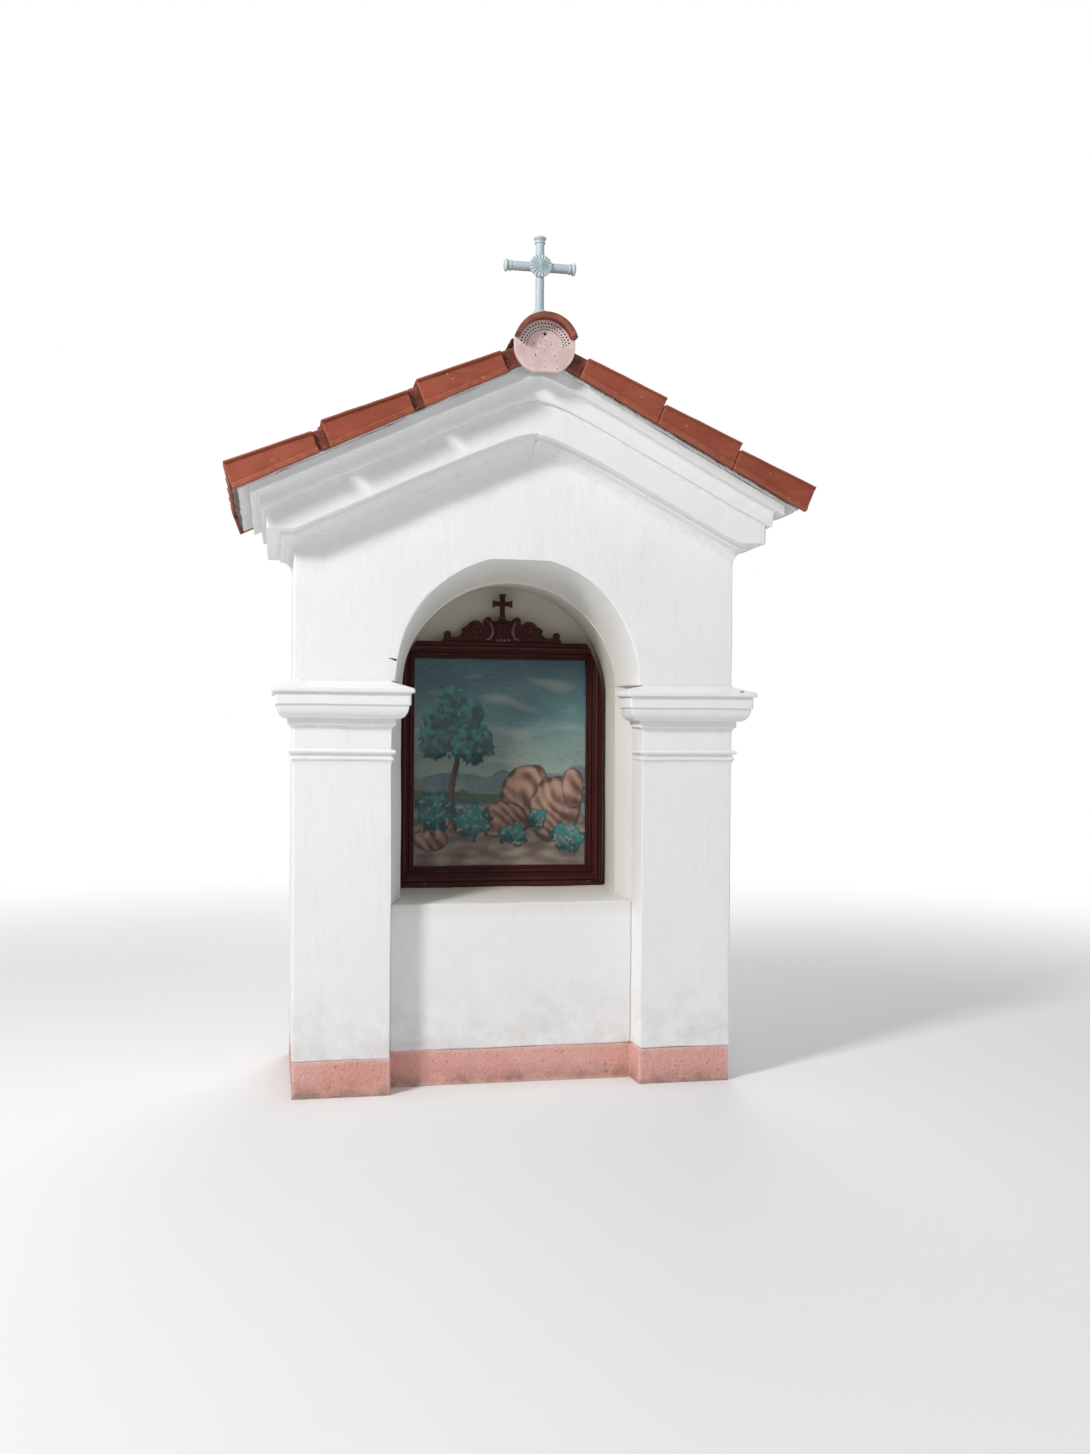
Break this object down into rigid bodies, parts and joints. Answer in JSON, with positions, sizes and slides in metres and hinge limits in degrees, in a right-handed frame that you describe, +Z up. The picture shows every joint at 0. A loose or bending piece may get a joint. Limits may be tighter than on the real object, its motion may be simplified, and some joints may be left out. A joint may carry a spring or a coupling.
{
  "type": "wayside niche shrine",
  "caption": "Plastered masonry wayside shrine with an arched niche for a framed picture, moulded cornices and a small gabled tile roof with a cross.",
  "frame": {"origin": "middle of the footprint at ground level", "axes": "+Z up, the open niche faces -Y, +X is the viewer's right when facing the niche"},
  "size_m": [2.1023, 1.192, 3.039],
  "materials": {
    "lime_plaster": "hand-trowelled lime-white plaster",
    "plinth_paint": "rough render painted pink",
    "mortar": "rough mortar",
    "terracotta": "matt fired clay with weathering",
    "pale_ceramic": "pale pink painted clay",
    "cross_paint": "light blue-grey paint",
    "frame_paint": "satin dark oxblood paint on carved wood",
    "painted_panel": "painted board with a plain landscape",
    "clear_glass": "clear window glass"
  },
  "bodies": {
    "root": {"plinth_left": "plinth_paint", "plinth_right": "plinth_paint", "plinth_parapet": "plinth_paint", "pier_left": "lime_plaster", "pier_right": "lime_plaster", "side_wall_left": "lime_plaster", "side_wall_right": "lime_plaster", "parapet_wall": "lime_plaster", "niche_sill": "lime_plaster", "niche_back_wall": "lime_plaster", "necking_left": "lime_plaster", "necking_right": "lime_plaster", "impost_left": "lime_plaster", "impost_right": "lime_plaster", "front_gable": "lime_plaster", "attic_masonry": "lime_plaster", "raking_cornice_left": "lime_plaster", "raking_cornice_right": "lime_plaster", "rear_cornice_left": "lime_plaster", "rear_cornice_right": "lime_plaster", "eaves_cornice_left": "lime_plaster", "eaves_cornice_right": "lime_plaster", "tile_bed_left": "mortar", "tile_bed_right": "mortar", "roof_tiles_left": "terracotta", "roof_tiles_right": "terracotta", "verge_tiles_left": "terracotta", "verge_tiles_right": "terracotta", "rear_verge_tiles_left": "terracotta", "rear_verge_tiles_right": "terracotta", "ridge_mortar": "mortar", "ridge_tiles": "terracotta", "ridge_end_caps": "pale_ceramic", "cross_foot": "cross_paint", "cross_upright": "cross_paint", "cross_arms": "cross_paint", "cross_end_caps": "cross_paint", "cross_rosette": "cross_paint", "picture_panel": "painted_panel", "picture_glass": "clear_glass", "frame_stiles": "frame_paint", "frame_rails": "frame_paint", "crest_board": "frame_paint", "crest_cartouche": "frame_paint", "crest_cross": "frame_paint"}
  },
  "joints": []
}
